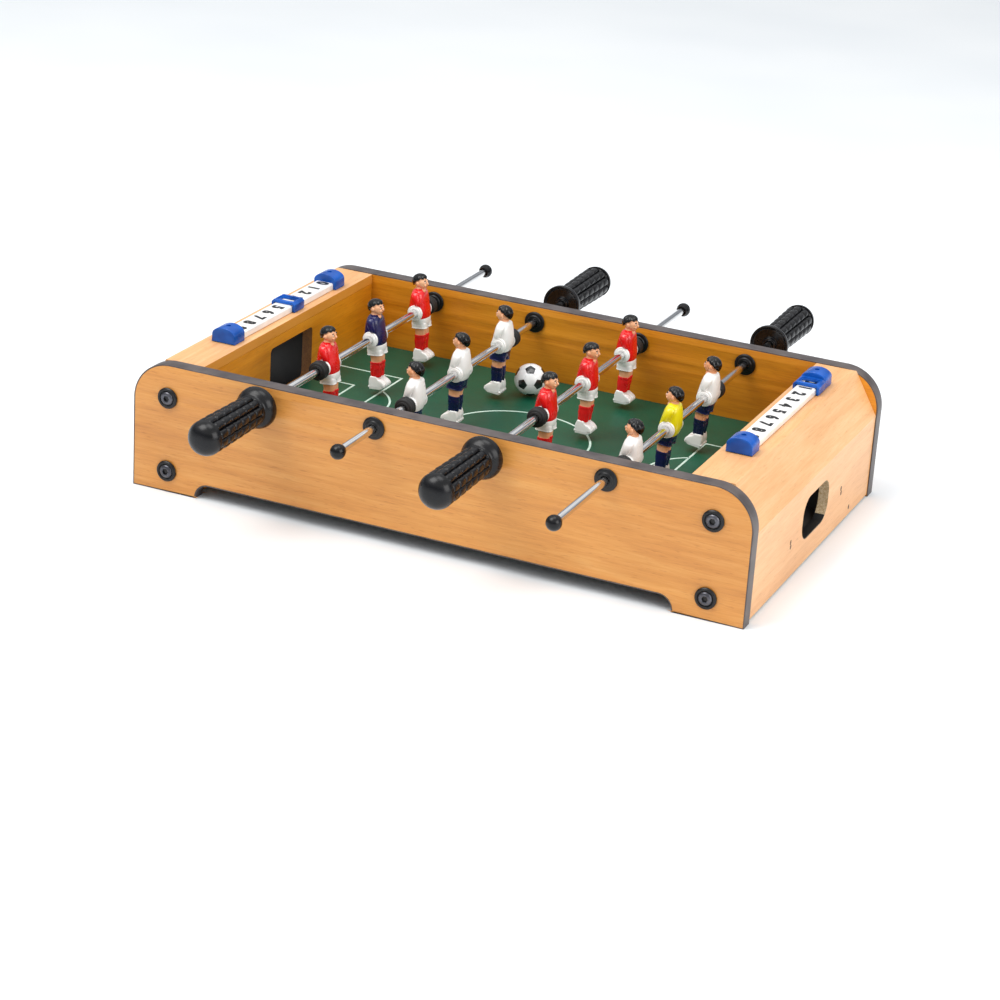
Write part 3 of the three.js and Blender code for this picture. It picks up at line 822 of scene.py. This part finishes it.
# rows are height, middle x, middle y on the +Y side, half depth and half width
figure = {
    "torso": [
        (-5.6, 0.9, 0, 6.2, 8), (-5, 0.8, 0, 7.3, 8.9), (-2, 0.5, 0, 7.9, 9.2), (2, 0.2, 0, 8.1, 9.3),
        (7, 0.2, 0, 7.5, 9.1), (12, 0.4, 0, 6.6, 9), (15.2, 0.5, 0, 5.8, 8.4), (17.6, 0.4, 0, 4.8, 6.8),
        (19, 0.4, 0, 3.8, 4.8), (19.6, 0.4, 0, 2.8, 3.6),
    ],
    "sleeve": [
        (5.6, 2.8, 8.5, 0.8, 0.8), (6.4, 2.6, 8.6, 2.3, 1.9), (9, 1.9, 8.9, 3, 2.2),
        (12, 1.1, 8.8, 3.4, 2.4), (15, 0.6, 8.2, 3.4, 2.5), (17.2, 0.3, 7, 2.7, 2.2), (18, 0.2, 6.4, 1, 1),
    ],
    "seat": [
        (-4.4, 0.9, 0, 6.2, 8), (-5.2, 0.9, 0, 7.1, 8.5), (-7.5, 1, 0, 7.2, 8.4),
        (-10.4, 1.1, 0, 6.7, 7.8), (-11.2, 1.1, 0, 5.8, 7),
    ],
    "shortsLeg": [
        (-8, 1, 4, 6, 3.3), (-10, 1.1, 4, 6.6, 3.8), (-12.9, 1.3, 3.9, 6.6, 3.8),
        (-13.5, 1.3, 3.9, 6.9, 4), (-14, 1.3, 3.9, 6.6, 3.8), (-13.7, 1.3, 3.9, 5, 3),
    ],
    "leg": [
        (-12.4, 1.2, 3, 4.9, 3.4), (-15.5, 1.3, 2.9, 4.8, 3.3), (-18.4, 1.4, 2.9, 4.5, 3.2),
        (-20.2, 1.2, 2.9, 4.4, 3.2), (-22.5, 1.1, 2.9, 4.6, 3.2),
    ],
    "sock": [
        (-20, 1.2, 2.9, 4.4, 3.1), (-20.3, 1.2, 2.9, 5, 3.5), (-21.9, 1.1, 2.9, 5.1, 3.5),
        (-22.3, 1, 2.9, 4.8, 3.3), (-25.5, 0.7, 2.9, 5, 3.4), (-29, 0.4, 2.9, 4.5, 3.2),
        (-33, 0.3, 2.9, 4.3, 3.2),
    ],
    "head": [
        (19.3, 4.6, 0, 1, 0.9), (19.9, 4.1, 0, 2.5, 2.2), (21.1, 3.4, 0, 4.1, 3.4),
        (23, 2.7, 0, 5.4, 4.6), (25.6, 2.3, 0, 5.9, 5.1), (27.6, 2.1, 0, 5.3, 4.7),
        (29.4, 1.8, 0, 3.9, 3.6), (30.2, 1.7, 0, 2.2, 2),
    ],
    "neck": [
        (16.5, 0.4, 0, 3.6, 4.3), (19, 0.8, 0, 3.4, 3.7), (21, 1, 0, 3.1, 3.3), (23.5, 1.2, 0, 3, 3.2),
    ],
    "boss": [
        (0, 8.4), (6.7, 8.4), (6.7, 9.6), (6.3, 10), (5.2, 10), (4.9, 10.4), (3.8, 10.45), (3.5, 10.1),
        (0, 10.1),
    ],
    "sole": [
        (-5.2, -43.5), (5.8, -43.5), (9.2, -41), (9.3, -38.9), (7, -36.4), (3.4, -34.6), (2.2, -32.2),
        (-3.6, -31.9), (-5.2, -36),
    ],
    "welt": [(-5.7, -41.6), (8.4, -41.6), (9.2, -40.2), (-5.6, -40.2)],
}


def pair(name, *settings):
    # the same limb on both sides
    return [limb(np.array(figure[name]) * (1, 1, side, 1, 1), *settings) for side in (-1, 1)]


def shirtParts(paint):
    # body, sleeves, and a collar: a thin round cord that dips at the front
    parts = [limb(figure["torso"], paint, 44, 48, 2.7), *pair("sleeve", paint, 26, 24, 2.3)]
    collarRing = np.linspace(0, 2 * np.pi, 40, endpoint=False)
    rise = 18.6 - 1.6 * np.clip(np.cos(collarRing), 0, 1) ** 3
    centre = np.stack([0.9 + 3.7 * np.cos(collarRing), 4.1 * np.sin(collarRing), rise], -1)
    around = np.linspace(0, 2 * np.pi, 12, endpoint=False)[None, :, None]
    outward = np.stack([np.cos(collarRing), np.sin(collarRing), 0 * collarRing], -1)[:, None]
    grid = centre[:, None] + 0.75 * np.cos(around) * outward + 0.75 * np.sin(around) * np.array([0, 0, 1])
    return [*parts, shell(grid, paint, wrapRows=True)]


def bossParts():
    # the round ends of the hub that the rod runs through
    return [turned(np.array(figure["boss"]) * (1, side), "whitePaint", 48) for side in (-1, 1)]


def shortsParts(paint):
    return [limb(figure["seat"], paint, 20, 44, 2.9), *pair("shortsLeg", paint, 26, 32, 3.0)]


def shoeParts():
    # two slabs with rounded rims, and a welt that stands a little proud round each
    outline = eased(figure["sole"], 1.3, closed=True, steps=4)
    welt = insetOutline(eased(figure["welt"], 0.4, closed=True), -0.2)
    return [slab(shape, *sorted((side * 0.12, side * width)), rim, "whitePaint")
            for shape, width, rim in ((outline, 6.6, 1.1), (welt, 6.65, 0.7)) for side in (-1, 1)]


def headParts():
    # head, neck, chin, nose, and an ear and a cheek on each side
    parts = [limb(figure["head"], "skinPaint", 36, 40, 2.1), limb(figure["neck"], "skinPaint", 14, 28)]
    parts.append(ellipsoid((3.7, 0, 17.4), (2.5, 2.5, 2.3), "skinPaint"))
    parts.append(ellipsoid((8.25, 0, 23.8), (1.15, 0.85, 1.25), "skinPaint", 14, 18))
    for side in (-1, 1):
        parts.append(ellipsoid((1.7, side * 5.3, 24.6), (1.3, 0.75, 1.8), "skinPaint", 14, 20))
        parts.append(ellipsoid((7.0, side * 2.1, 22.9), (1.1, 1.2, 1.1), "skinPaint", 12, 16))
    return parts


def faceParts():
    # mouth, and the white and the pupil of each eye
    parts = [ellipsoid((7.25, 0, 21.5), (0.75, 1.5, 0.42), "lipPaint", 12, 18)]
    for side in (-1, 1):
        parts.append(ellipsoid((7.15, side * 2.05, 25.2), (0.9, 0.95, 0.5), "whitePaint", 12, 18))
        parts.append(ellipsoid((7.75, side * 2.0, 25.2), (0.45, 0.55, 0.5), "hairPaint", 12, 18))
    return parts


def hairParts():
    # hair covers the head down to a line that drops from the brow, past the ears, to the collar
    around = np.linspace(0, 2 * np.pi, 96, endpoint=False)[None]
    share = np.concatenate([np.linspace(0, 1, 30), [1.0, 0.97]])[:, None]
    depth = np.concatenate([np.ones(30), [0.86, 0.7]])[:, None]
    front = (1 + np.cos(around)) / 2
    limit = np.radians(122 - 28 * np.sin(around) ** 2 - 60 * front ** 1.6 + 6 * np.cos(around * 9) * front)
    down = 0.02 + share * limit
    wave = np.sin(around * 11 + 2.2 * np.sin(around * 3 + share * 4))
    strands = 0.028 * wave * smoothStep(share, 0.15, 0.5)
    tufts = 0.07 * front * smoothStep(share, 0.35, 0.8) * (1 - smoothStep(share, 0.85, 1.1))
    size = depth * (1 + strands + tufts)
    grid = np.array([1.6, 0, 25.6]) + onSphere(down, around) * np.array([6.75, 6.0, 6.75]) * size[..., None]
    brows = [ellipsoid((7.35, side * 2.15, 26.7), (0.75, 1.35, 0.36), "hairPaint", 12, 18)
             for side in (-1, 1)]
    return [shell(grid, "hairPaint"), *brows]


def player(number, place, lean, facing, shirt, shorts, socks):
    # one piece for each paint, all riding with the rod; the shirt stands for the whole node
    node = f"rod_{number}_player_{place}"
    x, z = rodAxis(number)
    offset = (x, middleOf(node)[1], z)
    sets = [("shirt", shirtParts(shirt), paintSlots[shirt]), ("bosses", bossParts(), "white_plastic"),
            ("shorts", shortsParts(shorts), paintSlots[shorts]),
            ("legs", pair("leg", "skinPaint", 22, 28, 2.5), "skin_paint"),
            ("socks", pair("sock", socks, 34, 28, 2.5), paintSlots[socks]),
            ("shoes", shoeParts(), "white_plastic"), ("head", headParts(), "skin_paint"),
            ("face", faceParts(), "white_plastic"), ("hair", hairParts(), "black_paint")]
    for part, shapes, slotName in sets:
        placed = [moved(shape, offset, lean, facing) for shape in shapes]
        makePiece(f"{node}_{part}", placed, f"rod_{number}_assembly",
                  [node] if part == "shirt" else (), sharpAngle=45)


teams = {
    1: {"lean": -5.8, "facing": 1, "shirts": ("redPaint", "navyPaint", "redPaint"),
        "shorts": "whitePaint", "socks": "redPaint"},
    2: {"lean": 4.0, "facing": -1, "shirts": ("whitePaint",) * 3, "shorts": "navyPaint",
        "socks": "navyPaint"},
    3: {"lean": 0.0, "facing": 1, "shirts": ("redPaint",) * 3, "shorts": "whitePaint",
        "socks": "redPaint"},
    4: {"lean": 7.5, "facing": -1, "shirts": ("whitePaint", "yellowPaint", "whitePaint"),
        "shorts": "navyPaint", "socks": "navyPaint"},
}
for number, team in teams.items():
    for place, shirt in zip(("front", "middle", "rear"), team["shirts"]):
        player(number, place, team["lean"], team["facing"], shirt, team["shorts"], team["socks"])
print("players done")


# a numbered rail between two end blocks, with a slider that rides on it
counter = {"railWidth": 16.2, "railTop": 110.2, "blockLength": 17, "blockHalf": 10.25, "blockTop": 117,
           "recess": 2.0, "windowWidth": 13, "windowLength": 9, "digitHeight": 9.6, "capShare": 0.72,
           "stroke": 0.42, "swell": 0.3, "ink": 0.05, "firstDigit": 79.5, "digitStep": 15.5}


def roundedBox(low, high, material, squareness=10):
    # an upright block with rounded vertical corners
    middle, half = (np.array(low) + high) / 2, (np.array(high) - low) / 2
    rows = [(z, middle[0], middle[1], half[0], half[1]) for z in (low[2], high[2])]
    return limb(rows, material, 2, 64, squareness)


def numbersMesh(x, z):
    # digits 0 to 9, upright towards +X and read along -Y
    work = bmesh.new()
    for digit in range(10):
        text = bpy.data.curves.new("digit", "FONT")
        text.body = str(digit)
        text.align_x = "CENTER"
        text.align_y = "CENTER"
        text.size = counter["digitHeight"] / counter["capShare"] / 1000
        text.offset = counter["swell"] / 1000
        text.extrude = counter["ink"] / 1000
        holder = addObject("digit", text)
        mesh = shapedMesh(holder)
        y = counter["firstDigit"] - digit * counter["digitStep"] + middleY
        mesh.transform(Matrix(((0, 1, 0, x / 1000), (-1, 0, 0, y / 1000), (0, 0, 1, z / 1000), (0, 0, 0, 1))))
        # four prints a little apart thicken the strokes
        for number, (across, along) in enumerate(((-1, -1), (2, 0), (0, 2), (-2, 0))):
            step = counter["stroke"] / 1000
            mesh.transform(Matrix.Translation((across * step, along * step, 0.00001 * min(number, 1))))
            work.from_mesh(mesh)
        bpy.data.objects.remove(holder)
    numbers = bpy.data.meshes.new("numbers")
    work.to_mesh(numbers)
    work.free()
    return coat(numbers, "numberInk")


def scoreCounter(end):
    # rail, its printed numbers, and a crowned block with a round recess at each end
    node = f"{end}_score_bar"
    low, high = boxOf(node)
    x, base, top = (low[0] + high[0]) / 2, low[2], counter["railTop"]
    half = counter["railWidth"] / 2
    corners = [(half, base), (half, top - 1), (half - 1, top), (1 - half, top), (-half, top - 1),
               (-half, base)]
    rail = eased(corners, 0.4, closed=True, steps=3)
    inner = counter["blockLength"] - 2
    bar = slab(rail + (x, 0), low[1] + inner, high[1] - inner, 0.3, "railPlastic")
    makePiece(f"{node}_rail", [bar], "table", [node])
    pieceFromMesh(f"{node}_numbers", numbersMesh(x, top + 0.04), "table")
    shoulder = (base + counter["blockTop"]) / 2
    crown = arc(0, 0, 1, 0, 180, 33) * (counter["blockHalf"], counter["blockTop"] - shoulder) + (0, shoulder)
    outline = np.vstack([[(-counter["blockHalf"], base), (counter["blockHalf"], base)], crown])
    for place, start in (("near", low[1]), ("far", high[1] - counter["blockLength"])):
        body = slab(outline + (x, 0), start, start + counter["blockLength"], 0.9, "blockPlastic")
        block = makePiece(f"{node}_{place}_block", [body], "table", [node])
        middle, recess = start + counter["blockLength"] / 2, counter["recess"]
        rows = [(counter["blockTop"] + step, x, middle, recess, recess) for step in (-1.2, 1)]
        cutAway(block, [limb(rows, "blockPlastic", 2, 32)])


def scoreSlider(end):
    # a saddle over the rail, with a window cut through its top and a shallow lip round it
    node = f"{end}_score_slider"
    low, high = boxOf(node)
    middle, half = (low + high) / 2, (high - low) / 2
    inner, ceiling, chamfer = counter["railWidth"] / 2 + 0.5, counter["railTop"] + 0.35, 2.0
    outline = np.array([
        (inner, low[2]), (half[0], low[2]), (half[0], high[2] - chamfer), (half[0] - chamfer, high[2]),
        (chamfer - half[0], high[2]), (-half[0], high[2] - chamfer), (-half[0], low[2]), (-inner, low[2]),
        (-inner, ceiling), (inner, ceiling),
    ]) + (middle[0], 0)
    saddle = flatMesh(node, [outline], high[1] - low[1], 0.35, "blockPlastic")
    saddle.transform(Matrix.Translation((0, middle[1] / 1000, 0)))
    piece = pieceFromMesh(f"{node}_saddle", saddle, node, [node])
    reach = np.array([counter["windowWidth"] / 2, counter["windowLength"] / 2])
    window, lip = (
        roundedBox((*(middle[:2] - size), floor), (*(middle[:2] + size), high[2] + 2), "blockPlastic")
        for size, floor in ((reach, ceiling - 2), (reach + 1.1, high[2] - 0.7))
    )
    cutAway(piece, [window, lip])


for end in ("left", "right"):
    scoreCounter(end)
    scoreSlider(end)
print("counters done")


view = {"position": (781.6, -1870.6, 810.1), "azimuth": 0.4024, "elevation": 0.3876, "roll": 0.0657,
        "lens": 97.48}


def viewAxes():
    # right, up and backward directions of the camera
    azimuth, elevation, roll = view["azimuth"], view["elevation"], view["roll"]
    backward = Vector((math.sin(azimuth) * math.cos(elevation), -math.cos(azimuth) * math.cos(elevation),
                       math.sin(elevation)))
    level = Vector((math.cos(azimuth), math.sin(azimuth), 0))
    upright = backward.cross(level)
    right = math.cos(roll) * level + math.sin(roll) * upright
    up = math.cos(roll) * upright - math.sin(roll) * level
    return right, up, backward


def facingAxes(forward, up):
    # right, up and forward at right angles: forward is kept, and up is as near as it can be
    forward = forward / np.linalg.norm(forward)
    up = up - forward * (up @ forward)
    up = up / np.linalg.norm(up)
    return np.stack([np.cross(up, forward), up, forward], 1)


def ball():
    # a sphere whose twelve patches and twenty plain panels point along a solid's own corners
    low, high = boxOf("ball")
    middle, radius = (low + high) / 2, (high[2] - low[2]) / 2
    part = ellipsoid(middle, (radius,) * 3, "ballPlastic", 97, 192)
    piece = makePiece("ball_sphere", [part], "ball", ["ball"], sharpAngle=60)
    golden = (1 + math.sqrt(5)) / 2
    signs = np.array([(1, 1), (1, -1), (-1, 1), (-1, -1)], float)
    flat = np.column_stack([np.zeros(4), signs * (1, golden)])
    patches = np.vstack([np.roll(flat, turn, 1) for turn in range(3)])
    patches /= np.linalg.norm(patches[0])
    leaning = np.column_stack([np.zeros(4), signs * (golden, 1 / golden)])
    cube = np.array(np.meshgrid((-1, 1), (-1, 1), (-1, 1)), float).reshape(3, -1).T
    plain = np.vstack([cube, *[np.roll(leaning, turn, 1) for turn in range(3)]]) / math.sqrt(3)
    # three neighbouring patches stand in a triangle round the direction of view, one of them on top
    own = facingAxes(np.array([golden, 0, 2 * golden + 1]), np.array([golden, 0, 1]))
    turn = facingAxes(np.array(view["position"]) - middle, np.array(viewAxes()[1])) @ own.T
    points = np.empty(len(piece.data.vertices) * 3)
    piece.data.vertices.foreach_get("co", points)
    unit = (points.reshape(-1, 3) * 1000 - middle) / radius @ turn
    nearest = np.sort(unit @ plain.T, axis=1)
    patch = 0.974 * (unit @ patches.T).max(1) - nearest[:, -1]
    for name, value in (("patch", patch), ("seam", nearest[:, -1] - nearest[:, -2])):
        attribute = piece.data.attributes.new(name, "FLOAT", "POINT")
        attribute.data.foreach_set("value", value.astype(np.float32))


ball()
print("ball done")


# the lights' places and sizes are in metres
lights = {
    "key": ((-0.9, -1.0, 2.2), (0, 0, 0), (1.4, 1.4), 35, (1.0, 0.99, 0.97)),
    "side": ((2.3, -0.6, 1.1), (0, 0, 0.05), (1.8, 1.4), 28, (1.0, 0.985, 0.97)),
    "overhead": ((0.1, 0.0, 1.8), (0.05, 0, 0), (0.9, 0.9), 8, (1.0, 1.0, 1.0)),
}
surroundings = {"strength": 0.93, "floorHalf": 6.0, "floorHeight": -0.00005}


def areaLight(name, position, target, size, power, colour):
    lamp = bpy.data.lights.new(name, "AREA")
    lamp.shape = "RECTANGLE"
    lamp.size, lamp.size_y = size
    lamp.energy = power
    lamp.color = colour
    aim = Vector(position) - Vector(target)
    turn = aim.to_track_quat("Z", "Y").to_matrix().to_4x4()
    addObject(name, lamp).matrix_world = Matrix.Translation(position) @ turn


def studio():
    half, height = surroundings["floorHalf"], surroundings["floorHeight"]
    corners = [(-half, -half, height), (half, -half, height), (half, half, height), (-half, half, height)]
    mesh = bpy.data.meshes.new("floor")
    mesh.from_pydata(corners, [], [(0, 1, 2, 3)])
    mesh.materials.append(materials["studioFloor"])
    floor = addObject("floor", mesh)
    world = bpy.data.worlds.new("studio")
    bpy.context.scene.world = world
    world.use_nodes = True
    sky = world.node_tree
    background = sky.nodes["Background"]
    background.inputs["Strength"].default_value = surroundings["strength"]
    # the sky's own brightness: full overhead, dimmer low down, so that bright metal shows dark lines
    place = addNode(sky, "ShaderNodeTexCoord").outputs["Generated"]
    height = addNode(sky, "ShaderNodeSeparateXYZ", {0: place}).outputs["Z"]
    band = ramp(sky, height, (0.0, "#F7F9FB"), (0.1, "#F7F9FB"), (0.2, "#8C9096"), (0.38, "#9A9EA4"),
                (0.55, "#FCFDFE"))
    sky.links.new(band, background.inputs["Color"])
    for name, settings in lights.items():
        areaLight(name, *settings)
    bpy.context.scene.view_settings.view_transform = "Standard"
    right, up, backward = viewAxes()
    lens = bpy.data.cameras.new("camera")
    lens.lens = view["lens"]
    lens.sensor_width = 36
    lens.clip_start = 0.1
    lens.clip_end = 30
    camera = addObject("camera", lens)
    turn = Matrix((right, up, backward)).transposed().to_4x4()
    camera.matrix_world = Matrix.Translation(Vector(view["position"]) / 1000) @ turn
    bpy.context.scene.camera = camera


studio()
print("studio done")
